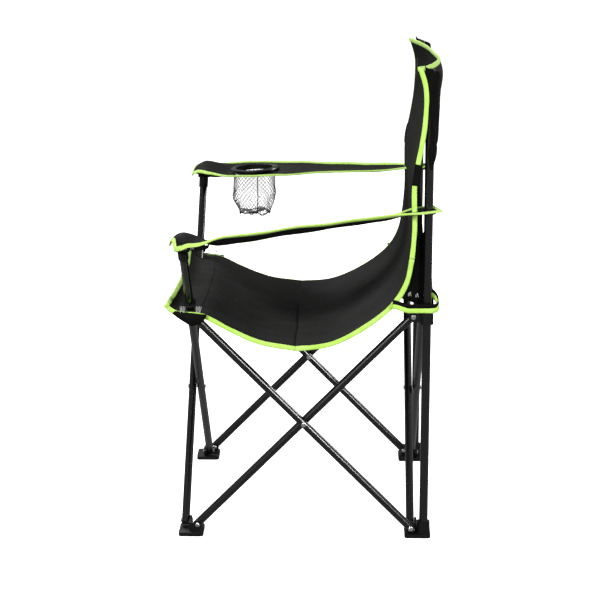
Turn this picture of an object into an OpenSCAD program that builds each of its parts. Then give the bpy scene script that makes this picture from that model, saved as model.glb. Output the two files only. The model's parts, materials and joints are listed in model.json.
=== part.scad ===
// Folding camp chair: four crossed pairs of steel tube between four corner feet,
// with a fabric sling, two fabric arms and a cup holder.
// Millimetres. The front is -Y, the sitter's left is +X, up is +Z, the floor is z = 0.

/* [Frame] */
// Length of a brace between its end pivots
brace_len = 566; // [460:1:700]
// Angle of every brace from upright when the chair is open
open_angle = 44.5; // [40:0.5:48]
// Outside diameter of the braces
tube_d = 15; // [12:0.5:15]
// Outside diameter of the rear posts
post_d = 16; // [13:0.5:18]
// Wall of all the tubes
tube_wall = 1.1; // [0.8:0.1:1.5]
// Height of the rear posts above the floor
post_top = 866; // [800:1:1050]
// Length of a front tube above its seat corner pivot
arm_tube_len = 206; // [160:1:240]

/* [Corners] */
// Height of the foot pivots above the floor
pivot_z = 17; // [16:0.5:22]
// Diameter of the rivets
rivet_d = 5; // [4:0.5:6]
// Diameter of a rivet's head
rivet_head_d = 9; // [8:0.5:11]
// Thickness of the ears that hold the braces
ear_t = 4; // [3:0.5:4.5]
// Radius of an ear round its pivot
ear_r = 9; // [8:0.5:10]
// Thickness of a foot's sole
sole_t = 7; // [5:0.5:7.5]
// Wall of the collar and the foot socket round a post
collar_wall = 4; // [3:0.5:4]
// Height of a sliding collar
collar_h = 26; // [20:1:34]

/* [Fabric] */
// Thickness of the fabric panels
cloth_t = 2.4; // [1.6:0.1:3]
// Width of the seat between its bound edges
seat_w = 396; // [300:1:400]
// Drop of the seat's lowest point below the corner pivots
seat_sag = 70; // [50:1:90]
// Height of the fabric sleeve that covers a post's top
sleeve_h = 122; // [90:1:150]
// Width of an arm at the cup holder
arm_w = 118; // [104:1:124]
// Width of an arm where it passes round the rear post
strap_w = 44; // [38:1:52]
// Height of the arms where they meet the rear posts
arm_rear_z = 612; // [580:1:640]

/* [Cup holder] */
// Bore of the ring
cup_bore = 76; // [70:1:80]
// Width of the ring's flange
cup_flange = 8; // [5:0.5:9]
// Depth of the net bag
net_depth = 86; // [60:1:110]
// Distance of the ring's centre behind the front of the arm
cup_back = 112; // [96:1:130]

/* [Hidden] */
tube_r = tube_d / 2;
bore_r = tube_r - tube_wall;
post_r = post_d / 2;
rivet_r = rivet_d / 2;
pin_gap = 0.06;         // running clearance of a rivet in a tube
fit_gap = 0.05;         // clearance of a rivet in the ear or plug that holds it
slide_gap = 0.3;        // clearance of a collar on its post
tube_gap = 1;           // gap between two crossing tubes
plane_gap = 0.6;        // gap between the side tubes and the front and rear pairs
corner_gap = 3;         // gap between a foot pivot's ear and the post's socket
cloth_gap = 1.5;        // gap between two pieces of cloth
face_gap = 0.4;         // gap between a tube and the ear or rivet head beside it
head_t = 1.6;
half_span = brace_len / 2 * sin(open_angle);
top_z = pivot_z + brace_len * cos(open_angle);
tube_off = (tube_d + tube_gap) / 2;     // of a crossing tube from the plane of its pair
round_r = tube_r + 0.5;                 // rounding of a brace's end about its pivot
side_x = half_span + tube_d + tube_off - face_gap;   // plane of each side pair
front_y = half_span + tube_d + 2 * plane_gap;     // plane of the front pair
rear_y = half_span + tube_off;          // plane of the rear pair
side_out = side_x + tube_off;
side_in = side_x - tube_off;
front_out = front_y + tube_off;
front_in = front_y - tube_off;
rear_out = rear_y + tube_off;
rear_in = rear_y - tube_off;
post_x = side_x;
post_y = half_span + ear_r + post_r + collar_wall + corner_gap;
cross_z = pivot_z + brace_len / 2 * cos(open_angle);    // height of the crossing rivets
ear_off = tube_r + face_gap + ear_t / 2; // from a tube's axis to the middle of its ear
socket_r = post_r + collar_wall;
plug_len = 24;
cap_wall = 1.8;
cap_top = 3;            // of a front tube's cap above the tube
cap_skirt = 20;
insert_r = 7;
insert_len = 24;
insert_s = arm_tube_len + cap_top + insert_r + face_gap;   // insert centre along the tube
insert_x = half_span + insert_s * sin(open_angle);
insert_z = top_z + insert_s * cos(open_angle);
arm_slope = abs(arm_rear_z - insert_z - insert_r) / (post_y + front_in);
arm_front_z = insert_z + insert_r + plane_gap + insert_len / 2 * arm_slope;    // clears the insert along its length
arm_split = 2 / 3;
arm_tip = 18;           // of the arm past its tube and past the post
eyelet_wall = 5;
eyelet_h = 5;
seat_eyelet_s = 30;     // of a seat eyelet above the corner pivot, along its tube
sleeve_wall = 2.2;
net_top_r = cup_bore / 2 + 2;

$fn = 48;

// ---- tubes ----

// A brace in its own frame: foot pivot at the origin, running up Z, pivots along X.
module brace_blank(top) {
    intersection() {
        difference() {
            translate([0, 0, -round_r]) cylinder(r = tube_r, h = brace_len + round_r + top);
            translate([0, 0, -round_r - 1]) cylinder(r = bore_r, h = brace_len + round_r + top + 2);
        }
        brace_ends(top);
    }
}

// The envelope that rounds a brace's ends about its pivots.
module brace_ends(top) {
    union() {
        translate([-tube_d, -tube_d, 0]) cube([2 * tube_d, 2 * tube_d, brace_len + (top > round_r ? top : 0)]);
        pin_hole(0, round_r);
        if (top <= round_r) pin_hole(brace_len, round_r);
    }
}

module pin_hole(at, r) {
    translate([-tube_d, 0, at]) rotate([0, 90, 0]) cylinder(r = r, h = 2 * tube_d);
}

module brace(top = round_r) {
    difference() {
        brace_blank(top);
        for (at = [0, brace_len / 2, brace_len]) pin_hole(at, rivet_r + pin_gap);
    }
}

module plug(at, from) {
    difference() {
        intersection() {
            translate([0, 0, from]) cylinder(r = bore_r - fit_gap, h = plug_len);
            union() {
                pin_hole(at, round_r);
                translate([-tube_d, -tube_d, at == 0 ? 0 : at - plug_len]) cube([2 * tube_d, 2 * tube_d, plug_len]);
            }
        }
        pin_hole(at, rivet_r + pin_gap);
    }
}

module foot_plug() { plug(0, -round_r); }
module plugs() {
    foot_plug();
    plug(brace_len, brace_len + round_r - plug_len);
}

// Stands a brace in a side pair: its foot is at side * half_span in Y.
module in_side(x, side) {
    translate([x, side * half_span, pivot_z]) rotate([side * open_angle, 0, 0]) children();
}

// Stands a brace in the front or rear pair: its foot is at side * half_span in X.
module in_cross(y, side) {
    translate([side * half_span, y, pivot_z]) rotate([0, -side * open_angle, 0]) rotate([0, 0, 90]) children();
}

module post(side) {
    difference() {
        translate([side * post_x, post_y, sole_t]) cylinder(r = post_r, h = post_top - sole_t);
        translate([side * post_x, post_y, sole_t - 1]) cylinder(r = post_r - tube_wall, h = post_top);
    }
}

module post_cap(side) {
    stem = 14;
    translate([side * post_x, post_y, post_top - stem]) cylinder(r = post_r - tube_wall - fit_gap, h = stem);
    translate([side * post_x, post_y, post_top]) cylinder(r1 = post_r, r2 = post_r - 2, h = 3);
}

// ---- rivets ----

// A rivet along X between two faces, with a domed head past each.
module rivet_x(low, high, y, z) {
    translate([low - face_gap, y, z]) rotate([0, 90, 0]) cylinder(r = rivet_r, h = high - low + 2 * face_gap);
    translate([low - face_gap, y, z]) rotate([0, -90, 0]) rivet_head();
    translate([high + face_gap, y, z]) rotate([0, 90, 0]) rivet_head();
}

module rivet_y(low, high, x, z) {
    translate([x, 0, z]) rotate([0, 0, 90]) translate([0, 0, -z]) rivet_x(low, high, 0, z);
}

module rivet_head() {
    rotate_extrude() polygon([[0, 0], [rivet_head_d / 2, 0], [rivet_head_d / 2, head_t * 0.35],
        [rivet_head_d * 0.38, head_t * 0.8], [rivet_head_d * 0.2, head_t], [0, head_t]]);
}

// ---- corner fittings ----

// An ear across X at x, round its pivot and running to the corner at y_end.
module ear_x(x, y, y_end, z, drop) {
    low = min(y, y_end);
    difference() {
        union() {
            translate([x - ear_t / 2, y, z]) rotate([0, 90, 0]) cylinder(r = ear_r, h = ear_t);
            translate([x - ear_t / 2, low, z - drop]) cube([ear_t, abs(y_end - y), drop + ear_r * 0.5]);
        }
        translate([x - ear_t, y, z]) rotate([0, 90, 0]) cylinder(r = rivet_r + fit_gap, h = 2 * ear_t);
    }
}

// The same ear across Y at y.
module ear_y(y, x, x_end, z, drop) {
    mirror([1, -1, 0]) ear_x(y, x, x_end, z, drop);
}

// A foot's sole: a flat slab with round corners under both pivots.
module sole(x_low, x_high, y_low, y_high) {
    r = 6;
    linear_extrude(sole_t) union() {
        translate([x_low + r, y_low]) square([x_high - x_low - 2 * r, y_high - y_low]);
        translate([x_low, y_low + r]) square([x_high - x_low, y_high - y_low - 2 * r]);
        for (x = [x_low + r, x_high - r], y = [y_low + r, y_high - r]) translate([x, y]) circle(r = r);
    }
}

// Front foot or bracket on the left: the side tube is inner, the front tube outer.
module corner_side_in(sx, sy, x_in, y_out, z, drop) {
    ex = x_in + ear_off;
    ey = y_out - ear_off;
    mirror([sx < 0 ? 1 : 0, 0, 0]) mirror([0, sy < 0 ? 1 : 0, 0]) {
        ear_x(ex, half_span, ey + ear_t / 2, z, drop);
        ear_y(ey, half_span, ex + ear_t / 2, z, drop);
    }
}

// The opposite hand: the side tube is outer, the cross tube inner.
module corner_side_out(sx, sy, x_out, y_in, z, drop) {
    ex = x_out - ear_off;
    ey = y_in + ear_off;
    mirror([sx < 0 ? 1 : 0, 0, 0]) mirror([0, sy < 0 ? 1 : 0, 0]) {
        ear_x(ex, half_span, ey + ear_t / 2, z, drop);
        ear_y(ey, half_span, ex + ear_t / 2, z, drop);
    }
}

// The rear corner whose cross tube is outer: its ear meets the post's socket from outside.
module corner_rear_out(sx, z, drop) {
    ex = side_in + ear_off;
    ey = rear_out + ear_off;
    mirror([sx < 0 ? 1 : 0, 0, 0]) {
        ear_x(ex, half_span, post_y - post_r - 1, z, drop);
        ear_y(ey, half_span, post_x - post_r - 1, z, drop);
    }
}

sole_in = half_span - ear_r - 2;
sole_out_x = side_out + tube_r + 3;
sole_out_y = post_y + socket_r + 1;
foot_drop = pivot_z - sole_t + 0.01;

module socket(sx, low, high, r_in) {
    difference() {
        translate([sx * post_x, post_y, low]) cylinder(r = socket_r, h = high - low);
        translate([sx * post_x, post_y, low - 1]) cylinder(r = r_in, h = high - low + 2);
    }
}

module rear_foot(sx) {
    difference() {
        union() {
            mirror([sx < 0 ? 1 : 0, 0, 0]) sole(sole_in, sole_out_x, sole_in, sole_out_y);
            translate([sx * post_x, post_y, sole_t - 1]) cylinder(r = socket_r, h = 22);
            if (sx > 0) corner_side_out(1, 1, side_out, rear_in, pivot_z, foot_drop);
            else corner_rear_out(-1, pivot_z, foot_drop);
        }
        translate([sx * post_x, post_y, sole_t]) cylinder(r = post_r, h = 40);
    }
}

module front_foot(sx) {
    mirror([sx < 0 ? 1 : 0, 0, 0]) mirror([0, 1, 0])
        sole(sole_in, sole_out_x, sole_in, front_out + tube_r + 3);
    if (sx > 0) corner_side_in(1, -1, side_in, front_out, pivot_z, foot_drop);
    else corner_side_out(-1, -1, side_out, front_in, pivot_z, foot_drop);
}

module collar(sx) {
    difference() {
        union() {
            translate([sx * post_x, post_y, top_z - collar_h / 2]) cylinder(r = socket_r, h = collar_h);
            if (sx > 0) corner_rear_out(1, top_z, ear_r);
            else corner_side_out(-1, 1, side_out, rear_in, top_z, ear_r);
        }
        translate([sx * post_x, post_y, top_z - collar_h]) cylinder(r = post_r + slide_gap, h = 2 * collar_h);
    }
}

module bracket(sx) {
    if (sx > 0) corner_side_out(1, -1, side_out, front_in, top_z, ear_r);
    else corner_side_in(-1, -1, side_in, front_out, top_z, ear_r);
}

// Rivets of a fitting: inner tubes have their ear outside, outer tubes inside.
module rivets_at(sx, sy, x_tube, x_ear_out, y_tube, y_ear_out, z) {
    ear = face_gap + ear_t;
    mirror([sx < 0 ? 1 : 0, 0, 0]) mirror([0, sy < 0 ? 1 : 0, 0]) {
        rivet_x(x_tube - tube_r - (x_ear_out ? 0 : ear), x_tube + tube_r + (x_ear_out ? ear : 0), half_span, z);
        rivet_y(y_tube - tube_r - (y_ear_out ? 0 : ear), y_tube + tube_r + (y_ear_out ? ear : 0), half_span, z);
    }
}

// ---- arms ----

module arm_cap() {
    translate([0, 0, brace_len + arm_tube_len]) difference() {
        translate([0, 0, -cap_skirt]) cylinder(r = tube_r + cap_wall, h = cap_skirt + cap_top);
        translate([0, 0, -cap_skirt - 1]) cylinder(r = tube_r + fit_gap, h = cap_skirt + 1);
    }
}

module arm_insert(sx, y) {
    translate([sx * insert_x, -y - insert_len / 2, insert_z]) rotate([-90, 0, 0])
        cylinder(r = insert_r, h = insert_len);
}

// Puts a flat arm, drawn with its tube at the origin and running along +Y, into place.
module on_arm(sx, y) {
    run = post_y + y;
    drop_in = insert_x - post_x;
    translate([sx * insert_x, -y, arm_front_z]) rotate([0, 0, sx * atan(drop_in / run)])
        rotate([atan((arm_rear_z - arm_front_z) / arm_length(y)), 0, 0]) children();
}

function arm_length(y) = norm([post_y + y, insert_x - post_x]);

// Half of an arm's outline, from its tip to the end of its strap, then mirrored.
module arm_outline(len) {
    w = arm_w / 2;
    strap = strap_w / 2;
    for (side = [0, 1]) mirror([side, 0]) polygon([[-0.01, -arm_tip], [w * 0.4, -arm_tip], [w * 0.75, -arm_tip + 16],
        [w, cup_back - 30], [w, cup_back + 15], [w - 12, cup_back + 65], [strap + 6, len - 70],
        [strap, len - 20], [strap, len + arm_tip], [-0.01, len + arm_tip]]);
}

module arm_panel(sx, y, front) {
    len = arm_length(y);
    split = len * arm_split;
    on_arm(sx, y) linear_extrude(cloth_t) difference() {
        intersection() {
            arm_outline(len);
            translate([-arm_w, front ? -arm_tip : split]) square([2 * arm_w, front ? split + arm_tip : len]);
        }
        if (front && sx < 0) translate([0, cup_back]) circle(r = net_top_r + plane_gap);
        if (!front) translate([0, len]) circle(r = post_r + eyelet_wall + 2 * plane_gap);
    }
}

module arm_eyelet(sx) {
    difference() {
        translate([sx * post_x, post_y, arm_rear_z - 1]) cylinder(r = post_r + eyelet_wall, h = eyelet_h);
        translate([sx * post_x, post_y, arm_rear_z - 2]) cylinder(r = post_r + fit_gap, h = eyelet_h + 2);
    }
}

// An eyelet of the seat's front corner, round the tube that passes up through it.
module seat_eyelet() {
    translate([0, 0, brace_len + seat_eyelet_s]) difference() {
        cylinder(r = tube_r + eyelet_wall - 1, h = eyelet_h);
        translate([0, 0, -1]) cylinder(r = tube_r + fit_gap, h = eyelet_h + 2);
    }
}

module cup_ring() {
    on_arm(-1, front_out) translate([0, cup_back, cloth_t + 0.3]) rotate_extrude()
        polygon([[cup_bore / 2, -8], [cup_bore / 2 + 1.6, -8], [cup_bore / 2 + 1.6, 0],
            [cup_bore / 2 + cup_flange + 4, 0], [cup_bore / 2 + cup_flange + 3, 2],
            [cup_bore / 2 + 3, 3.2], [cup_bore / 2, 2.4]]);
}

module cup_net() {
    wall = 1.2;
    bottom_r = net_top_r * 0.86;
    on_arm(-1, front_out) translate([0, cup_back, -6]) rotate_extrude()
        polygon([[net_top_r, 0], [net_top_r, -net_depth * 0.5], [bottom_r, -net_depth],
            [0, -net_depth], [0, -net_depth + wall], [bottom_r - wall, -net_depth + wall],
            [net_top_r - wall, -net_depth * 0.5], [net_top_r - wall, 0]]);
}

// ---- sling ----

seat_lip_y = half_span - 7;
seat_lip_z = top_z + 13;
seat_low_y = -15;
seat_low_z = top_z - seat_sag;
back_low_z = top_z + 80;
back_y = rear_in - 1;
back_w = 2 * (post_x - strap_w / 2 - cloth_gap);

// A curve of the sling: a quarter of an ellipse drawn from its low point.
function sling_arc(cy, cz, ry, rz, a0, a1, n) =
    [for (i = [0 : n]) let (a = a0 + (a1 - a0) * i / n) [cy + ry * sin(a), cz - rz * cos(a)]];

module sling_piece(line, width) {
    upper = [for (i = [len(line) - 1 : -1 : 0]) line[i] + sling_up(line, i)];
    translate([-width / 2, 0, 0]) rotate([90, 0, 90]) linear_extrude(width) polygon(concat(line, upper));
}

// The step across the cloth at point i, square to the curve.
function sling_up(line, i) =
    let (a = line[max(i - 1, 0)], b = line[min(i + 1, len(line) - 1)], d = (b - a) / norm(b - a))
    [-d[1], d[0]] * cloth_t;

module seat_front() {
    sling_piece(sling_arc(seat_low_y, seat_lip_z, seat_lip_y + seat_low_y, seat_lip_z - seat_low_z, -78, 0, 10), seat_w);
}

module seat_rear() {
    sling_piece(sling_arc(seat_low_y, back_low_z, back_y - seat_low_y, back_low_z - seat_low_z, 0.4, 88, 14), seat_w);
}

module back_panel() {
    up = post_top + 4;
    sling_piece([[back_y, back_low_z + 1], [back_y + 4, back_low_z + 120], [post_y - 4, post_top - sleeve_h],
        [post_y, post_top - sleeve_h / 2], [post_y - 4, up]], back_w);
}

module back_sleeve(sx) {
    difference() {
        translate([sx * post_x, post_y, post_top - sleeve_h]) cylinder(r = post_r + face_gap + sleeve_wall, h = sleeve_h + 6);
        translate([sx * post_x, post_y, post_top - sleeve_h - 1]) cylinder(r = post_r + face_gap, h = sleeve_h + 4.5);
    }
}

// ---- nodes ----

steel = [0.05, 0.05, 0.055];
plastic = [0.07, 0.07, 0.07];
silver = [0.75, 0.76, 0.78];
cloth = [0.1, 0.1, 0.1];
lime = [0.7, 0.93, 0.25];
net = [0.9, 0.9, 0.9];

color(steel) post(1);  // rear_left_post
color(steel) post(-1);  // rear_right_post
color(plastic) post_cap(1);  // rear_left_post_cap
color(plastic) post_cap(-1);  // rear_right_post_cap
color(steel) in_side(side_out, 1) brace();  // left_side_brace_outer
color(steel) in_side(side_in, -1) brace();  // left_side_brace_inner
color(steel) in_side(-side_out, -1) brace();  // right_side_brace_outer
color(steel) in_side(-side_in, 1) brace();  // right_side_brace_inner
color(steel) in_cross(rear_out, -1) brace();  // rear_brace_outer
color(steel) in_cross(rear_in, 1) brace();  // rear_brace_inner
color(steel) in_cross(-front_out, 1) brace(arm_tube_len);  // front_tube_outer
color(steel) in_cross(-front_in, -1) brace(arm_tube_len);  // front_tube_inner
color(plastic) in_side(side_out, 1) plugs();  // left_outer_brace_plugs
color(plastic) in_side(side_in, -1) plugs();  // left_inner_brace_plugs
color(plastic) in_side(-side_out, -1) plugs();  // right_outer_brace_plugs
color(plastic) in_side(-side_in, 1) plugs();  // right_inner_brace_plugs
color(plastic) in_cross(rear_out, -1) plugs();  // rear_outer_brace_plugs
color(plastic) in_cross(rear_in, 1) plugs();  // rear_inner_brace_plugs
color(plastic) in_cross(-front_out, 1) foot_plug();  // front_outer_tube_plug
color(plastic) in_cross(-front_in, -1) foot_plug();  // front_inner_tube_plug
color(silver) rivet_x(side_in - tube_r, side_out + tube_r, 0, cross_z);  // left_side_cross_rivet
color(silver) rivet_x(-side_out - tube_r, -side_in + tube_r, 0, cross_z);  // right_side_cross_rivet
color(silver) rivet_y(rear_in - tube_r, rear_out + tube_r, 0, cross_z);  // rear_cross_rivet
color(silver) rivet_y(-front_out - tube_r, -front_in + tube_r, 0, cross_z);  // front_cross_rivet
color(plastic) rear_foot(1);  // rear_left_foot
color(plastic) rear_foot(-1);  // rear_right_foot
color(plastic) front_foot(1);  // front_left_foot
color(plastic) front_foot(-1);  // front_right_foot
color(silver) rivets_at(1, 1, side_out, false, rear_in, true, pivot_z);  // rear_left_foot_rivets
color(silver) rivets_at(-1, 1, side_in, true, rear_out, true, pivot_z);  // rear_right_foot_rivets
color(silver) rivets_at(1, -1, side_in, true, front_out, false, pivot_z);  // front_left_foot_rivets
color(silver) rivets_at(-1, -1, side_out, false, front_in, true, pivot_z);  // front_right_foot_rivets
color(plastic) collar(1);  // rear_left_collar
color(plastic) collar(-1);  // rear_right_collar
color(silver) rivets_at(1, 1, side_in, true, rear_out, true, top_z);  // rear_left_collar_rivets
color(silver) rivets_at(-1, 1, side_out, false, rear_in, true, top_z);  // rear_right_collar_rivets
color(plastic) bracket(1);  // front_left_bracket
color(plastic) bracket(-1);  // front_right_bracket
color(silver) rivets_at(1, -1, side_out, false, front_in, true, top_z);  // front_left_bracket_rivets
color(silver) rivets_at(-1, -1, side_in, true, front_out, false, top_z);  // front_right_bracket_rivets
color(plastic) in_cross(-front_in, -1) arm_cap();  // left_arm_tube_cap
color(plastic) in_cross(-front_out, 1) arm_cap();  // right_arm_tube_cap
color(plastic) arm_insert(1, front_in);  // left_arm_insert
color(plastic) arm_insert(-1, front_out);  // right_arm_insert
color(plastic) arm_eyelet(1);  // left_arm_eyelet
color(plastic) arm_eyelet(-1);  // right_arm_eyelet
color(plastic) in_cross(-front_in, -1) seat_eyelet();  // left_seat_eyelet
color(plastic) in_cross(-front_out, 1) seat_eyelet();  // right_seat_eyelet
color(cloth) back_panel();
color(lime) back_sleeve(1);  // left_back_sleeve
color(lime) back_sleeve(-1);  // right_back_sleeve
color(cloth) seat_front();
color(cloth) seat_rear();
color(cloth) arm_panel(1, front_in, true);  // left_arm_front
color(cloth) arm_panel(1, front_in, false);  // left_arm_rear
color(cloth) arm_panel(-1, front_out, true);  // right_arm_front
color(cloth) arm_panel(-1, front_out, false);  // right_arm_rear
color(plastic) cup_ring();
color(net) cup_net();
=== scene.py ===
"""A folding camp chair's looks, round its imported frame: cloth, binding, net, finishes and studio."""

import json
import math

import bmesh
import bpy
from bpy.props import FloatProperty, FloatVectorProperty, IntProperty, PointerProperty
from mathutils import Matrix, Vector, noise


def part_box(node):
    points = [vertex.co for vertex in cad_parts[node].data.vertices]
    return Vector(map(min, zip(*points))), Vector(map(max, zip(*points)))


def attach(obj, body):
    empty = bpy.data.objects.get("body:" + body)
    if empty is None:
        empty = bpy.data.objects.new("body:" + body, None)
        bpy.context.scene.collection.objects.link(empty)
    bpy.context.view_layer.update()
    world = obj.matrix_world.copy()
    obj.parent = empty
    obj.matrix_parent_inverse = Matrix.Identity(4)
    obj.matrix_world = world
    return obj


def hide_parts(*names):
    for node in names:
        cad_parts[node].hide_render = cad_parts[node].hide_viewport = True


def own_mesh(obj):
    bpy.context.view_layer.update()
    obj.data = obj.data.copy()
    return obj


bl_info = {
    "name": "Folding Camp Chair",
    "version": (1, 0, 0),
    "blender": (4, 5, 0),
    "location": "3D View > Sidebar > Camp Chair",
    "description": "Dresses a folding camp chair's frame with its cloth, binding, net and finishes",
    "category": "Add Mesh",
}

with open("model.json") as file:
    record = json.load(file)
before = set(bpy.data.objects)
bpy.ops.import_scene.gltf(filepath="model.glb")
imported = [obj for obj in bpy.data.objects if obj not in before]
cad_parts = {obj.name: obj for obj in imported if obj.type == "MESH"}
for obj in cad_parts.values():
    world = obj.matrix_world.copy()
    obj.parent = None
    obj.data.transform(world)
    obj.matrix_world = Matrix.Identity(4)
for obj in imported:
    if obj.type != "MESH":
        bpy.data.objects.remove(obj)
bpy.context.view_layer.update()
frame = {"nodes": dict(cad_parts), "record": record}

MM = 0.001
ROOT = "rear_left_post_body"


def node_box(node):
    """Lowest corner, highest corner and middle of a node at rest."""
    low, high = (Vector(v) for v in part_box(node))
    return low, high, (low + high) / 2


POST_LOW, POST_HIGH, POST = node_box("rear_left_post")
POST_R = (POST_HIGH.x - POST_LOW.x) / 2
BRACKET = node_box("front_left_bracket")[2]
CORNER_Z = BRACKET.z
INSERT = {1: node_box("left_arm_insert")[2], -1: node_box("right_arm_insert")[2]}
EYELET = {1: node_box("left_arm_eyelet")[2], -1: node_box("right_arm_eyelet")[2]}
RING_LOW, RING_HIGH, RING = node_box("cup_ring")


# ---- sizes and colours ----

class ChairSizes(bpy.types.PropertyGroup):
    cloth: FloatProperty(name="Cloth", description="Thickness of the cloth", default=1.4 * MM, unit="LENGTH")
    binding: FloatProperty(
        name="Binding", description="Width of the edge binding", default=9 * MM, unit="LENGTH")
    half_width: FloatProperty(
        name="Half width", description="From the middle of the sling to its edge",
        default=234 * MM, unit="LENGTH")
    thread: FloatProperty(
        name="Net thread", description="Thickness of the net's threads", default=1.15 * MM, unit="LENGTH")
    net_cells: IntProperty(name="Net cells", description="Meshes round the net bag", default=32, min=12)
    net_depth: FloatProperty(
        name="Net depth", description="Depth of the net bag", default=84 * MM, unit="LENGTH")


class ChairColours(bpy.types.PropertyGroup):
    cloth: FloatVectorProperty(
        name="Cloth", description="Colour of the cloth", subtype="COLOR", default=(0.0021, 0.0021, 0.0016))
    binding: FloatVectorProperty(
        name="Binding", description="Colour of the edge binding", subtype="COLOR", default=(0.52, 0.93, 0.07))
    steel: FloatVectorProperty(
        name="Steel", description="Colour of the powder coat",
        subtype="COLOR", default=(0.0022, 0.0022, 0.0024))
    fitting: FloatVectorProperty(
        name="Fittings", description="Colour of the moulded fittings",
        subtype="COLOR", default=(0.0045, 0.0045, 0.0045))
    stitching: FloatVectorProperty(
        name="Stitching", description="Colour of the bar tacks", subtype="COLOR", default=(0.5, 0.5, 0.48))


def sizes():
    return bpy.context.scene.chair_sizes


def colours():
    return bpy.context.scene.chair_colours


# ---- materials ----

class Finish:
    """A node material: a principled shader, and helpers that wire textures into it."""

    def __init__(self, name, roughness=0.5, **constants):
        self.material = bpy.data.materials.new(name)
        self.material.use_nodes = True
        self.nodes, self.links = self.material.node_tree.nodes, self.material.node_tree.links
        self.shader = self.nodes["Principled BSDF"]
        self.shader.inputs["Roughness"].default_value = roughness
        for socket, value in constants.items():
            self.shader.inputs[socket.replace("_", " ")].default_value = value
        self.place = self.nodes.new("ShaderNodeTexCoord").outputs["Object"]

    def noise(self, scale, detail=4, stretch=None):
        node = self.nodes.new("ShaderNodeTexNoise")
        node.inputs["Scale"].default_value = scale
        node.inputs["Detail"].default_value = detail
        source = self.place
        if stretch:
            mapping = self.nodes.new("ShaderNodeMapping")
            mapping.inputs["Scale"].default_value = stretch
            self.links.new(source, mapping.inputs["Vector"])
            source = mapping.outputs["Vector"]
        self.links.new(source, node.inputs["Vector"])
        return node.outputs["Fac"]

    def wave(self, scale, direction, turn=(0, 0, 0)):
        mapping = self.nodes.new("ShaderNodeMapping")
        mapping.inputs["Rotation"].default_value = turn
        node = self.nodes.new("ShaderNodeTexWave")
        node.bands_direction = direction
        node.inputs["Scale"].default_value = scale
        node.inputs["Distortion"].default_value = 0.4
        self.links.new(self.place, mapping.inputs["Vector"])
        self.links.new(mapping.outputs["Vector"], node.inputs["Vector"])
        return node.outputs["Fac"]

    def mix(self, a, b, how="MULTIPLY"):
        node = self.nodes.new("ShaderNodeMath")
        node.operation = how
        self.links.new(a, node.inputs[0])
        if isinstance(b, (int, float)):
            node.inputs[1].default_value = b
        else:
            self.links.new(b, node.inputs[1])
        return node.outputs[0]

    def colour(self, factor, low, high, at=(0.3, 0.7)):
        ramp = self.nodes.new("ShaderNodeValToRGB")
        for element, where, value in zip(ramp.color_ramp.elements, at, (low, high)):
            element.position = where
            element.color = (*value, 1)
        self.links.new(factor, ramp.inputs["Fac"])
        self.links.new(ramp.outputs["Color"], self.shader.inputs["Base Color"])

    def roughness(self, factor, low, high):
        node = self.nodes.new("ShaderNodeMapRange")
        node.inputs["To Min"].default_value = low
        node.inputs["To Max"].default_value = high
        self.links.new(factor, node.inputs["Value"])
        self.links.new(node.outputs["Result"], self.shader.inputs["Roughness"])

    def bump(self, height, strength, distance):
        node = self.nodes.new("ShaderNodeBump")
        node.inputs["Strength"].default_value = strength
        node.inputs["Distance"].default_value = distance
        self.links.new(height, node.inputs["Height"])
        self.links.new(node.outputs["Normal"], self.shader.inputs["Normal"])


def shade(colour, share):
    return tuple(min(1.0, c * share) for c in colour)


def woven_cloth():
    """Black polyester: a basket weave with a soft sheen and faint creases."""
    base = tuple(colours().cloth)
    f = Finish("woven_cloth", Sheen_Weight=0.01, Sheen_Roughness=0.5, Specular_IOR_Level=0.09)
    weave = f.mix(f.wave(260, "X"), f.wave(260, "Y", (math.radians(45), 0, 0)), "MAXIMUM")
    cloudy = f.noise(7, 5)
    f.colour(f.mix(weave, cloudy, "MULTIPLY"), shade(base, 0.7), shade(base, 1.5), (0.15, 0.75))
    f.roughness(cloudy, 0.62, 0.85)
    f.bump(f.mix(weave, f.mix(f.noise(40, 4), 2.2, "MULTIPLY"), "ADD"), 0.35, 0.0006)
    return f.material


def ribbed_binding():
    """Lime grosgrain tape: fine ribs across it, paler where it is worn."""
    base = tuple(colours().binding)
    f = Finish("lime_binding", 0.6, Sheen_Weight=0.12, Specular_IOR_Level=0.3)
    ribs = f.mix(f.wave(330, "DIAGONAL"), f.wave(330, "DIAGONAL", (0, 0, math.radians(90))), "MAXIMUM")
    f.colour(f.mix(ribs, f.noise(60, 3), "MULTIPLY"), shade(base, 0.8), (0.72, 1.0, 0.34), (0.1, 0.9))
    f.bump(ribs, 0.4, 0.0005)
    return f.material


def powder_coat():
    """Gloss black powder coat with its faint orange peel."""
    base = tuple(colours().steel)
    f = Finish("gloss_powder_coat", 0.2, Coat_Weight=0.5, Coat_Roughness=0.2, Specular_IOR_Level=0.5)
    f.colour(f.noise(30, 3), shade(base, 0.8), shade(base, 1.4))
    f.roughness(f.noise(9, 3), 0.2, 0.3)
    f.bump(f.noise(14, 2), 0.02, 0.00004)
    return f.material


def moulded_plastic(name="moulded_plastic", rough=(0.38, 0.55), share=1.0):
    base = shade(tuple(colours().fitting), share)
    f = Finish(name, Specular_IOR_Level=0.22)
    f.colour(f.noise(80, 3), shade(base, 0.8), shade(base, 1.5))
    f.roughness(f.noise(45, 4), *rough)
    f.bump(f.noise(1400, 3), 0.12, 0.0004)
    return f.material


def plated_rivet():
    f = Finish("plated_rivet", Metallic=1.0)
    f.colour(f.noise(220, 3), (0.62, 0.62, 0.63), (0.9, 0.9, 0.9))
    f.roughness(f.noise(500, 3), 0.14, 0.34)
    f.bump(f.noise(700, 2), 0.08, 0.0002)
    return f.material


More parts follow.
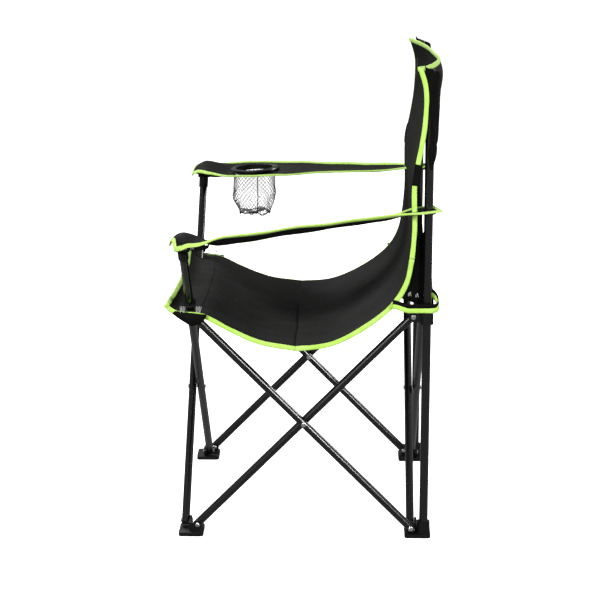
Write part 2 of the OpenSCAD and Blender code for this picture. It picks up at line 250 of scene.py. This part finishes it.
def tack_thread():
    base = tuple(colours().stitching)
    f = Finish("tack_thread", 0.7, Sheen_Weight=0.2)
    twist = f.wave(900, "DIAGONAL")
    f.colour(twist, shade(base, 0.6), shade(base, 1.4))
    f.bump(twist, 0.5, 0.0003)
    return f.material


def sheer_net():
    """The pale film between the net's threads."""
    f = Finish("sheer_net", 0.7, Alpha=0.1)
    f.colour(f.noise(300, 3), (0.72, 0.72, 0.72), (0.95, 0.95, 0.95))
    f.material.surface_render_method = "BLENDED"
    return f.material


def net_thread():
    f = Finish("net_thread", 0.75)
    f.colour(f.noise(500, 3), (0.02, 0.02, 0.02), (0.12, 0.12, 0.12))
    f.bump(f.wave(1500, "DIAGONAL"), 0.4, 0.0002)
    return f.material


def finish_named(name, make):
    return bpy.data.materials.get(name) or make()


FINISHES = {
    "cloth": ("woven_cloth", woven_cloth), "binding": ("lime_binding", ribbed_binding),
    "steel": ("gloss_powder_coat", powder_coat), "fitting": ("moulded_plastic", moulded_plastic),
    "rivet": ("plated_rivet", plated_rivet), "stitching": ("tack_thread", tack_thread),
    "film": ("sheer_net", sheer_net), "thread": ("net_thread", net_thread),
    "ring": ("ring_plastic", lambda: moulded_plastic("ring_plastic", (0.2, 0.34), 1.2)),
}


def give(obj, finish, body):
    """Gives a piece its finish, and the body that it rides on."""
    obj.data.materials.clear()
    obj.data.materials.append(finish_named(*FINISHES[finish]))
    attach(obj, body)
    return obj


# ---- mesh building ----

def mesh_object(name, points, faces, smooth=True):
    mesh = bpy.data.meshes.new(name)
    mesh.from_pydata([tuple(p) for p in points], [], faces)
    mesh.validate()
    fix = bmesh.new()
    fix.from_mesh(mesh)
    bmesh.ops.remove_doubles(fix, verts=fix.verts, dist=1e-6)
    bmesh.ops.recalc_face_normals(fix, faces=fix.faces)
    fix.to_mesh(mesh)
    fix.free()
    obj = bpy.data.objects.new(name, mesh)
    bpy.context.collection.objects.link(obj)
    for face in mesh.polygons:
        face.use_smooth = smooth
    return obj


def applied(obj):
    """Applies a piece's modifiers to its mesh."""
    view = bpy.context.evaluated_depsgraph_get()
    mesh = bpy.data.meshes.new_from_object(obj.evaluated_get(view))
    obj.modifiers.clear()
    obj.data = mesh
    return obj


def surface_grid(surface, across, along):
    return [[surface(-1 + 2 * i / across, j / along) for i in range(across + 1)] for j in range(along + 1)]


def cloth_from(name, rows, keep=lambda point: True):
    """A sheet of cloth with thickness, from rows of points."""
    wide = len(rows[0])
    points = [p for row in rows for p in row]
    faces = [
        (j * wide + i, j * wide + i + 1, (j + 1) * wide + i + 1, (j + 1) * wide + i)
        for j in range(len(rows) - 1) for i in range(wide - 1)
    ]
    faces = [f for f in faces if keep(sum((points[k] for k in f), Vector()) / 4)]
    obj = mesh_object(name, points, faces)
    thick = obj.modifiers.new("thickness", "SOLIDIFY")
    thick.thickness = sizes().cloth
    thick.offset = 0
    return applied(obj)


def tube_faces(count, sides):
    """Faces of a closed-ended tube of count rings with so many sides."""
    faces = []
    for k in range(count - 1):
        for s in range(sides):
            n = (s + 1) % sides
            faces.append((k * sides + s, k * sides + n, (k + 1) * sides + n, (k + 1) * sides + s))
    return faces + [tuple(range(sides)), tuple(range((count - 1) * sides, count * sides))]


def tape_along(name, edge, inward, hang=0.35, wide=None, deep=1.9 * MM):
    """Binding folded over an edge: a soft flat tube swept along it, with a slight waver."""
    wide = wide or sizes().binding / 2
    sides = 12
    points = []
    count = len(edge)
    for k, point in enumerate(edge):
        ahead = edge[min(k + 1, count - 1)]
        behind = edge[max(k - 1, 0)]
        along = (ahead - behind).normalized()
        side = (inward[k] - along * inward[k].dot(along)).normalized()
        up = along.cross(side)
        waver = 1 + 0.16 * noise.noise(point * 38)
        for s in range(sides):
            turn = 2 * math.pi * s / sides
            reach = math.copysign(abs(math.cos(turn)) ** 0.6, math.cos(turn)) * wide * waver
            lift = math.copysign(abs(math.sin(turn)) ** 0.8, math.sin(turn)) * deep
            points.append(point + side * (reach + wide * hang) + up * lift)
    faces = tube_faces(count, sides)
    return mesh_object(name, points, faces)


def join(name, parts):
    """Joins pieces of one finish into one object."""
    points, faces = [], []
    for part in parts:
        start = len(points)
        points += [v.co.copy() for v in part.data.vertices]
        faces += [tuple(start + i for i in f.vertices) for f in part.data.polygons]
        bpy.data.objects.remove(part)
    return mesh_object(name, points, faces)


def edge_of(rows, which):
    """One edge of a grid and the inward direction along it: left, right, first or last."""
    if which in ("left", "right"):
        i, n = (0, 1) if which == "left" else (-1, -2)
        return [r[i] for r in rows], [r[n] - r[i] for r in rows]
    j, n = (0, 1) if which == "first" else (-1, -2)
    return list(rows[j]), [q - p for p, q in zip(rows[j], rows[n])]


def hem_of(rows, which):
    """A side edge and the outward direction along it, for a hem turned to the sling's outer face."""
    edge, inward = edge_of(rows, which)
    outer = []
    for k, point in enumerate(edge):
        along = edge[min(k + 1, len(edge) - 1)] - edge[max(k - 1, 0)]
        normal = along.cross(inward[k]).normalized()
        outer.append(normal if normal.dot(Vector((0, 0.6, -0.8))) > 0 else -normal)
    return edge, outer


def curve_through(points, t):
    """A smooth curve through points, for t from 0 to 1."""
    last = len(points) - 1
    k = min(int(t * last), last - 1)
    f = t * last - k
    a, b = points[max(k - 1, 0)], points[k]
    c, d = points[k + 1], points[min(k + 2, last)]
    return tuple(
        0.5 * (2 * q + (r - p) * f + (2 * p - 5 * q + 4 * r - s) * f * f + (3 * q - p - 3 * r + s) * f ** 3)
        for p, q, r, s in zip(a, b, c, d)
    )


def eased(low, high, value):
    t = max(0.0, min(1.0, (value - low) / (high - low)))
    return t * t * (3 - 2 * t)


# ---- the sling ----

# The sling's bound edge seen from the side: (y, z) from the corner pivots' height.
SEAT_EDGE = [
    (-0.246, 0.028), (-0.228, 0.012), (-0.182, 0.006), (-0.134, -0.018), (-0.080, -0.040), (-0.015, -0.050)]
REAR_EDGE = [
    (-0.015, -0.050), (0.044, -0.044), (0.098, -0.020), (0.152, 0.020), (0.180, 0.062), (0.190, 0.110)]
BACK_EDGE = [
    (0.190, 0.110), (0.194, 0.165), (0.193, 0.245), (0.204, 0.311), (0.210, 0.355), (0.211, 0.411),
    (0.200, 0.450)]
FLARE = 9 * MM          # of the seat past the back, on each side
DRAW_IN = 20 * MM       # of the seat's edges between its corners
SLACK = 14 * MM         # of the seat's middle below its edges
TWIST = 7 * MM          # of the seat's low point from side to side


def sling_point(across, y, z, pull, sag, bulge, half):
    """A point of the sling, drawn in at its sides by pull and slack in its middle."""
    slack = 1 - across * across
    crease = noise.noise(Vector((across * 2.3, y * 7, z * 7))) * 0.004
    fine = noise.noise(Vector((across * 9, y * 26, z * 26))) * 0.0013
    return Vector((across * (half - pull), y + bulge * slack + crease * 0.6 * slack,
                   CORNER_Z + z - sag * slack + (crease + fine) * (0.25 + 0.75 * slack)))


def seat_front_surface(across, t):
    y, z = curve_through(SEAT_EDGE, t)
    hollow = math.sin(math.pi * min(1, t * 0.55))
    lean = -TWIST * across * eased(0.25, 1, t)
    half = sizes().half_width + FLARE
    return sling_point(across, y, z + lean, DRAW_IN * hollow, SLACK * eased(0, 1, t), 0.010 * (1 - t), half)


def seat_rear_surface(across, t):
    """Runs a little way past the front half's end, so that the two overlap."""
    y, z = curve_through(REAR_EDGE, -0.02 + 1.02 * t)
    hollow = math.sin(math.pi * (0.55 + 0.45 * t))
    lean = -TWIST * across * (1 - eased(0, 0.8, t))
    half = sizes().half_width + FLARE * (1 - t)
    return sling_point(across, y, z + lean, DRAW_IN * hollow, SLACK * (1 - t), 0.012 * t, half)


def back_surface(across, t):
    y, z = curve_through(BACK_EDGE, t)
    swell = 0.010 + 0.036 * eased(0.2, 1, t)
    point = sling_point(across, y, z, 0.003 * math.sin(math.pi * t), 0, swell, sizes().half_width)
    point.z -= 0.007 * (1 - across * across) * eased(0.8, 1, t)
    return point


def gather(obj):
    """Gives the piece its own copy of its mesh."""
    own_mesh(obj)


def bound_sheet(name, surface, across, along, edges, body, nodes, flat):
    rows = surface_grid(surface, across, along)
    cloth = give(cloth_from(name, rows), "cloth", body)
    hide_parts(*nodes)
    tapes = [
        tape_along(f"{name}_{edge}", *(hem_of if edge in ("left", "right") else edge_of)(rows, edge),
                   hang=0.8 if edge in ("left", "right") else 0.35)
        for edge in edges]
    tape = give(join(f"{name}_binding", tapes), "binding", body)
    gather(cloth)
    gather(tape)


class CHAIR_OT_sling(bpy.types.Operator):
    """Make the seat and back of the sling, with their binding"""

    bl_idname = "chair.sling"
    bl_label = "Sling"

    def execute(self, context):
        width = 2 * sizes().half_width
        bound_sheet("seat_front_cloth", seat_front_surface, 56, 30, ("left", "right", "first"),
                    "seat_front_body", ["seat_front"], (width, run_of(seat_front_surface)))
        bound_sheet("seat_rear_cloth", seat_rear_surface, 56, 34, ("left", "right"),
                    "seat_rear_body", ["seat_rear"], (width, run_of(seat_rear_surface)))
        bound_sheet("back_cloth", back_surface, 60, 48, ("left", "right", "last"),
                    ROOT, ["back_panel"], (width, run_of(back_surface)))
        return {"FINISHED"}


def run_of(surface):
    line = [surface(0, k / 40) for k in range(41)]
    return sum((b - a).length for a, b in zip(line, line[1:]))


# ---- pockets, corners and tacks ----

class CHAIR_OT_back_pockets(bpy.types.Operator):
    """Make the cloth pockets behind the back's top corners, which the posts stand in"""

    bl_idname = "chair.back_pockets"
    bl_label = "Back Pockets"

    def execute(self, context):
        low = node_box("left_back_sleeve")[0].z - 0.022
        for side, word in ((1, "left"), (-1, "right")):
            body = ROOT if side > 0 else "rear_right_post_body"

            def surface(across, t, side=side):
                edge = back_surface(1, 0.55 + 0.45 * t)
                z = low + (edge.z - 0.003 - 0.008 * across - low) * t
                start = edge.y + 0.012
                turn = math.pi * (across + 1) * 0.56 - 0.06
                depth = POST.y + POST_R + 0.003 + 0.007 * t - start
                flat = math.sin(turn) ** 2
                ripple = 0.0016 * noise.noise(Vector((across * 3, t * 9, side)))
                x = POST.x + (POST_R + 0.0055) * math.cos(turn * 0.86 - 0.2) ** 3 + 0.010 * flat + ripple
                y = start + depth * (1 - math.cos(min(turn, math.pi))) / 2 + ripple
                return Vector((side * x, y, z - 0.03 * flat * (1 - t)))

            rows = surface_grid(surface, 34, 30)
            cloth = give(cloth_from(f"{word}_back_pocket", rows), "cloth", body)
            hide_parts(f"{word}_back_sleeve")
            across_run = sum((b - a).length for a, b in zip(rows[15], rows[15][1:]))
            self.strap(side, word, body)
        return {"FINISHED"}

    def strap(self, side, word, body):
        """The dark patch sewn over the back's edge above the arm."""
        rows = [
            [back_surface(side * (1 - 0.08 * i), 0.33 + 0.09 * k / 12) for i in range(2)] for k in range(13)]
        edge, outer = hem_of(rows, "left")
        patch = tape_along(f"{word}_back_patch", edge, outer, hang=0.75, wide=7 * MM, deep=2.9 * MM)
        give(patch, "cloth", body)


def corner_patch(side):
    """The reinforced pouch of black cloth that hangs below a front seat corner."""
    x0 = side * (sizes().half_width + 0.004)

    def surface(across, t):
        y = BRACKET.y - 0.004 + 0.033 * across * (1 - 0.5 * t ** 1.5) + 0.004 * t
        z = CORNER_Z + 0.010 - 0.018 * t - 0.007 * (1 - abs(across)) * t - 0.004 * across
        bulge = 0.004 * math.sin(math.pi * t) * (1 - across * across)
        return Vector((x0 + side * bulge, y, z))

    return cloth_from(f"corner_patch_{side}", surface_grid(surface, 14, 10))


def tack_rows(centre, along, up, count, step, length):
    """A row of bar-tack stitches: short raised threads side by side."""
    parts = []
    out = along.cross(up).normalized()
    for k in range(count):
        lean = 0.25 * math.sin(k * 2.1)
        middle = centre + along * (k - (count - 1) / 2) * step
        way = (up + along * lean).normalized()
        points = []
        for s in range(7):
            f = s / 6 - 0.5
            lift = 0.5 * MM * math.cos(math.pi * f)
            points.append(middle + way * length * f + out * lift)
        parts.append(tube_along(f"tack_{k}", points, 0.45 * MM, 6))
    return parts


def tube_along(name, line, radius, sides):
    points = []
    for k, point in enumerate(line):
        along = (line[min(k + 1, len(line) - 1)] - line[max(k - 1, 0)]).normalized()
        side = along.orthogonal().normalized()
        up = along.cross(side)
        for s in range(sides):
            turn = 2 * math.pi * s / sides
            points.append(point + (side * math.cos(turn) + up * math.sin(turn)) * radius)
    return mesh_object(name, points, tube_faces(len(line), sides))


class CHAIR_OT_seat_corners(bpy.types.Operator):
    """Make the seat's front seam, corner pouches, rear gussets and loops, and bar tacks"""

    bl_idname = "chair.seat_corners"
    bl_label = "Seat Corners"

    def execute(self, context):
        line = [seat_front_surface(-0.99 + 1.98 * k / 60, 0.36) + Vector((0, 0, 0.9 * MM)) for k in range(61)]
        gather(give(tube_along("seat_seam", line, 1.1 * MM, 6), "cloth", "seat_front_body"))
        patches = join("seat_corner_patches", [corner_patch(1), corner_patch(-1)])
        gather(give(patches, "cloth", "seat_front_body"))
        half = sizes().half_width
        tacks = []
        for side in (1, -1):
            for dy in (-0.014, 0.015):
                at = Vector((side * (half + 0.0095), BRACKET.y + dy, CORNER_Z + 0.017))
                tacks += tack_rows(at, Vector((0, side, 0)), Vector((0, 0, 1)), 5, 1.9 * MM, 12 * MM)
        gather(give(join("front_corner_tacks", tacks), "stitching", "seat_front_body"))
        self.rear_tabs(half)
        return {"FINISHED"}

    def rear_tabs(self, half):
        """Gussets from the sling's edge to the posts, and the bound loops that pass outside the posts."""
        cloths, tapes, tacks = [], [], []
        foot = CORNER_Z + 0.017
        reach = POST_R + 5 * MM
        for side in (1, -1):
            def gusset(across, t, side=side):
                up = (across + 1) / 2
                edge = seat_rear_surface(1, 0.7 + 0.3 * up)
                y = edge.y + (POST.y + 0.014 * (1 - up) - edge.y) * t
                x = edge.x - 0.001 + (POST.x - reach + 0.002 - edge.x) * eased(0, 0.8, t)
                z = edge.z + (foot - 0.009 + 0.160 * up - edge.z) * t
                ripple = 0.0015 * noise.noise(Vector((y * 60, z * 40, side)))
                return Vector((side * (x + ripple), y, z))

            def loop(across, t, side=side):
                up = (across + 1) / 2
                turn = math.radians(-95 + 290 * max(0, t - 0.3) / 0.7)
                x, y = POST.x + reach * math.cos(turn), POST.y + 0.004 + reach * 1.25 * math.sin(turn)
                if t < 0.42:
                    f = eased(0, 0.42, t)
                    x = half + 0.002 + (POST.x + reach - half - 0.002) * f
                    y = 0.160 + (POST.y + 0.004 - 0.160) * t / 0.42
                z = foot - 0.003 + 0.008 * (1 - eased(0, 0.2, t)) + 0.026 * eased(0.62, 1, t)
                return Vector((side * x, y, z + 0.013 * up))

            cloths.append(cloth_from(f"gusset_{side}", surface_grid(gusset, 18, 16)))
            rows = surface_grid(loop, 4, 56)
            cloths.append(cloth_from(f"loop_{side}", rows))
            tapes.append(tape_along(f"loop_binding_{side}", *edge_of(rows, "left"), hang=0.2))
            for where in (0.28, 0.5):
                at = gusset(-0.72, where) + Vector((side * 1.2 * MM, 0, 0))
                tacks += tack_rows(at, Vector((0, side, 0)), Vector((0, 0, 1)), 3, 2 * MM, 8 * MM)
        gather(give(join("rear_gussets", cloths), "cloth", "seat_rear_body"))
        gather(give(join("rear_loop_binding", tapes), "binding", "seat_rear_body"))
        gather(give(join("rear_corner_tacks", tacks), "stitching", "seat_rear_body"))


# ---- arms ----

def arm_axes(side):
    """Origin, rearward and outward directions, and length of an arm."""
    start = INSERT[side].copy()
    start.z = node_box("left_arm_front" if side > 0 else "right_arm_front")[0].z + 0.0015
    end = EYELET[side].copy()
    back = end - start
    out = Vector((back.y, -back.x, 0)).normalized() * (1 if side > 0 else -1)
    if out.x * side < 0:
        out.negate()
    return start, back.normalized(), out, back.length


ARM_TIP = 0.017
# Half width along an arm, from its tip: (distance behind the tube, half width).
ARM_WIDTHS = [(-0.020, 0.020), (-0.006, 0.040), (0.03, 0.052), (0.085, 0.060), (0.125, 0.060), (0.19, 0.048),
              (0.30, 0.034), (0.40, 0.026), (0.50, 0.020)]
ARM_TILT = {1: 0.36, -1: 0.10}


def arm_half_width(at):
    for (a, wa), (b, wb) in zip(ARM_WIDTHS, ARM_WIDTHS[1:]):
        if at <= b:
            return wa + (wb - wa) * eased(a, b, at)
    return ARM_WIDTHS[-1][1]


def arm_surface(side, first, last):
    start, back, out, length = arm_axes(side)

    def surface(across, t):
        at = first + (last - first) * t
        half = arm_half_width(at)
        free = eased(0.005, 0.07, at) * (1 - eased(length - 0.09, length - 0.01, at))
        tilt = ARM_TILT[side] * free
        if side > 0:
            half *= 1 - 0.22 * free
        droop = -0.010 * max(0, (0.002 - at) / 0.02) ** 1.5
        dome = 0.013 * (1 - eased(0, 0.06, at))
        hollow = (dome - 0.005 * free) * (1 - across * across)
        ripple = 0.0022 * noise.noise(Vector((across * 1.6, at * 15, side * 3.1)))
        rise = Vector((0, 0, half * (across - 0.5) * tilt + droop + hollow + ripple + 0.004))
        return start + back * at + out * across * half * math.cos(tilt) + rise

    return surface


class CHAIR_OT_arms(bpy.types.Operator):
    """Make the cloth arms, their binding and their front pockets"""

    bl_idname = "chair.arms"
    bl_label = "Arms"

    def execute(self, context):
        for side, word in ((1, "left"), (-1, "right")):
            start, back, out, length = arm_axes(side)
            split = length * 2 / 3
            self.part(side, word, "front", -ARM_TIP, split)
            self.part(side, word, "rear", split, length + 0.016)
            self.pocket(side, word)
        return {"FINISHED"}

    def part(self, side, word, which, first, last):
        surface = arm_surface(side, first, last)
        front = which == "front"
        rows = surface_grid(surface, 40, 120 if front else 60)
        ring = RING.to_2d()
        hole = (RING_HIGH.x - RING_LOW.x) / 2 - 8.5 * MM
        if front and side < 0:
            keep = lambda p: (p.to_2d() - ring).length > hole
        elif not front:
            keep = lambda p: (p.to_2d() - EYELET[side].to_2d()).length > POST_R + 1.5 * MM
        else:
            keep = lambda p: True
        body = f"{word}_arm_{which}_body"
        cloth = give(cloth_from(f"{word}_arm_{which}_cloth", rows, keep), "cloth", body)
        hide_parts(f"{word}_arm_{which}")
        edges = ("left", "right", "first" if front else "last")
        tapes = [tape_along(f"arm_{e}", *edge_of(rows, e)) for e in edges]
        tape = give(join(f"{word}_arm_{which}_binding", tapes), "binding", body)
        area = sum((b[0] - a[0]).length * ((a[0] - a[-1]).length) for a, b in zip(rows, rows[1:]))
        if front and side < 0:
            area -= math.pi * hole * hole

    def pocket(self, side, word):
        """The pocket under an arm's front that the tube's cap sits in."""
        start, back, out, _ = arm_axes(side)

        def surface(across, t):
            at = -ARM_TIP + 0.004 + 0.056 * t
            half = arm_half_width(at) * (0.9 - 0.45 * t)
            drop = 0.017 * math.sin(math.pi * (0.12 + 0.5 * t)) * (1 - 0.7 * across ** 2)
            return start + back * at + out * across * half + Vector((0, 0, 0.002 - drop))

        cloth = cloth_from(f"{word}_arm_pocket", surface_grid(surface, 20, 18))
        give(cloth, "cloth", f"{word}_arm_front_body")
        tacks = []
        for where in (0.2, 0.42):
            at = surface(0.98, where) + out * 0.8 * MM
            tacks += tack_rows(at, back, Vector((0, 0, 1)), 4, 1.6 * MM, 5 * MM)
        give(join(f"{word}_arm_tacks", tacks), "stitching", f"{word}_arm_front_body")


# ---- cup net ----

class CHAIR_OT_cup_net(bpy.types.Operator):
    """Make the net bag under the cup ring"""

    bl_idname = "chair.cup_net"
    bl_label = "Cup Net"

    def execute(self, context):
        top_z = RING_LOW.z + 0.004
        top_r = (RING_HIGH.x - RING_LOW.x) / 2 - 7.5 * MM
        depth = sizes().net_depth
        cells = sizes().net_cells

        def bag(turn, t):
            fall = min(1, t / 0.8)
            reach = top_r * (1 + 0.02 * math.sin(math.pi * fall) - 0.20 * eased(0.55, 1, fall))
            around = Vector((math.cos(turn) * 1.7, math.sin(turn) * 1.7, t * 5))
            crumple = 0.010 * noise.noise(around) * eased(0.15, 0.8, t)
            z = top_z - depth * fall
            if t > 0.8:
                inner = (t - 0.8) / 0.2
                reach *= 1 - 0.96 * inner
                z += 0.012 * math.sin(inner * 5 + math.cos(turn * 3)) * inner * (1 - inner) * 2
            reach += crumple
            return Vector((RING.x + reach * math.cos(turn), RING.y + reach * math.sin(turn), z + crumple))

        rows = 24
        points = [
            bag(2 * math.pi * (i + 0.5 * (j % 2)) / cells, j / rows)
            for j in range(rows + 1) for i in range(cells)]
        faces = []
        for j in range(rows - 1):
            for i in range(cells):
                odd = j % 2
                left = (j + 1) * cells + (i + odd - 1) % cells
                right = (j + 1) * cells + (i + odd) % cells
                faces.append((j * cells + i, left, (j + 2) * cells + i, right))
        threads = mesh_object("cup_net_threads", points, faces)
        wire = threads.modifiers.new("threads", "WIREFRAME")
        wire.thickness = sizes().thread
        wire.use_even_offset = False
        give(applied(threads), "thread", "right_arm_front_body")
        fine = 72
        skin = [[bag(2 * math.pi * i / fine, j / 40) for i in range(fine + 1)] for j in range(40)]
        centre = Vector((RING.x, RING.y, 0))
        skin = [[p + (centre - Vector((p.x, p.y, 0))).normalized() * 0.5 * MM for p in row] for row in skin]
        wide = fine + 1
        film = mesh_object("cup_net_film", [p for r in skin for p in r], [
            (j * wide + i, j * wide + i + 1, (j + 1) * wide + i + 1, (j + 1) * wide + i)
            for j in range(39) for i in range(fine)])
        give(film, "film", "right_arm_front_body")
        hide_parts("cup_net")
        seam = tube_along("cup_net_seam", [bag(0.2, k / 40) for k in range(33)], 0.9 * MM, 8)
        rim = [bag(2 * math.pi * k / 60, 0.8) for k in range(61)]
        rim = tube_along("cup_net_rim_ring", rim, 1.3 * MM, 8)
        give(join("cup_net_rim", [seam, rim]), "fitting", "right_arm_front_body")
        for name in ("cup_net_threads", "cup_net_film", "cup_net_rim"):
            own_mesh(bpy.data.objects[name])
        return {"FINISHED"}


# ---- carried-over nodes ----

class CHAIR_OT_frame_finishes(bpy.types.Operator):
    """Give the frame's own parts their finishes"""

    bl_idname = "chair.frame_finishes"
    bl_label = "Frame Finishes"

    def execute(self, context):
        slots = {s["node"]: s["material_slot"] for s in frame["record"]["subparts"]}
        for name, obj in frame["nodes"].items():
            finish = slots.get(name, "steel")
            if finish == "net":
                continue
            material = finish_named(*FINISHES[finish])
            for slot in obj.material_slots:
                slot.material = material
        return {"FINISHED"}


# ---- stage ----

class CHAIR_OT_stage(bpy.types.Operator):
    """Set up the floor, the soft lights and the camera"""

    bl_idname = "chair.stage"
    bl_label = "Stage"

    def execute(self, context):
        bpy.ops.mesh.primitive_plane_add(size=40, location=(0, 0, 0))
        floor = context.object
        floor.name = "studio_floor"
        finish = Finish("pale_floor", 0.9, Specular_IOR_Level=0.1)
        finish.colour(finish.noise(1.5, 2), (0.93, 0.93, 0.93), (0.96, 0.96, 0.96))
        finish.shader.inputs["Emission Color"].default_value = (1, 1, 1, 1)
        finish.shader.inputs["Emission Strength"].default_value = 0.95
        floor.data.materials.append(finish.material)
        floor.visible_glossy = False
        floor.visible_diffuse = False
        world = bpy.data.worlds.new("studio")
        world.use_nodes = True
        nodes, links = world.node_tree.nodes, world.node_tree.links
        seen = nodes.new("ShaderNodeLightPath").outputs["Is Camera Ray"]
        strength = nodes.new("ShaderNodeMapRange")
        strength.inputs["To Min"].default_value = 0.24
        strength.inputs["To Max"].default_value = 1.05
        links.new(seen, strength.inputs["Value"])
        background = nodes["Background"]
        background.inputs["Color"].default_value = (1, 1, 1, 1)
        links.new(strength.outputs["Result"], background.inputs["Strength"])
        context.scene.world = world
        for where, size, power in (
                ((3.4, -1.6, 2.4), 0.9, 150), ((2.8, 2.4, 1.6), 0.5, 60), ((-2.6, -1.4, 2.6), 0.8, 70),
                ((-1.8, 2.8, 2.2), 0.7, 60)):
            self.lamp(Vector(where), size, power)
        self.camera(context)
        context.scene.view_settings.view_transform = "Standard"
        return {"FINISHED"}

    def lamp(self, where, size, power):
        data = bpy.data.lights.new("soft_light", "AREA")
        data.size = size
        data.energy = power
        lamp = bpy.data.objects.new("soft_light", data)
        lamp.location = where
        lamp.rotation_euler = (Vector((0, 0, 0.4)) - where).to_track_quat("-Z", "Y").to_euler()
        bpy.context.collection.objects.link(lamp)

    def camera(self, context):
        data = bpy.data.cameras.new("camera")
        data.lens = 107.5
        data.sensor_width = 36
        camera = bpy.data.objects.new("camera", data)
        azimuth, elevation, distance = math.radians(91.33), math.radians(14.62), 3.52
        level = math.cos(elevation)
        back = Vector((math.sin(azimuth) * level, -math.cos(azimuth) * level, math.sin(elevation)))
        camera.location = Vector((0, -0.003, 0.384)) + back * distance
        camera.rotation_euler = (-back).to_track_quat("-Z", "Y").to_euler()
        context.collection.objects.link(camera)
        context.scene.camera = camera


STEPS = ("stage", "frame_finishes", "sling", "back_pockets", "seat_corners", "arms", "cup_net")


class CHAIR_PT_panel(bpy.types.Panel):
    """Lists the chair's steps and its sizes and colours"""

    bl_label = "Camp Chair"
    bl_idname = "CHAIR_PT_panel"
    bl_space_type = "VIEW_3D"
    bl_region_type = "UI"
    bl_category = "Camp Chair"

    def draw(self, context):
        for group in (context.scene.chair_sizes, context.scene.chair_colours):
            for name in group.bl_rna.properties.keys():
                if name not in ("rna_type", "name"):
                    self.layout.prop(group, name)
        for step in STEPS:
            self.layout.operator(f"chair.{step}")


CLASSES = (
    ChairSizes, ChairColours, CHAIR_OT_stage, CHAIR_OT_frame_finishes, CHAIR_OT_sling, CHAIR_OT_back_pockets,
    CHAIR_OT_seat_corners, CHAIR_OT_arms, CHAIR_OT_cup_net, CHAIR_PT_panel,
)


def register():
    for cls in CLASSES:
        bpy.utils.register_class(cls)
    bpy.types.Scene.chair_sizes = PointerProperty(type=ChairSizes)
    bpy.types.Scene.chair_colours = PointerProperty(type=ChairColours)


def unregister():
    del bpy.types.Scene.chair_sizes
    del bpy.types.Scene.chair_colours
    for cls in reversed(CLASSES):
        bpy.utils.unregister_class(cls)


def main():
    register()
    for step in STEPS:
        getattr(bpy.ops.chair, step)()


if __name__ == "__main__":
    main()
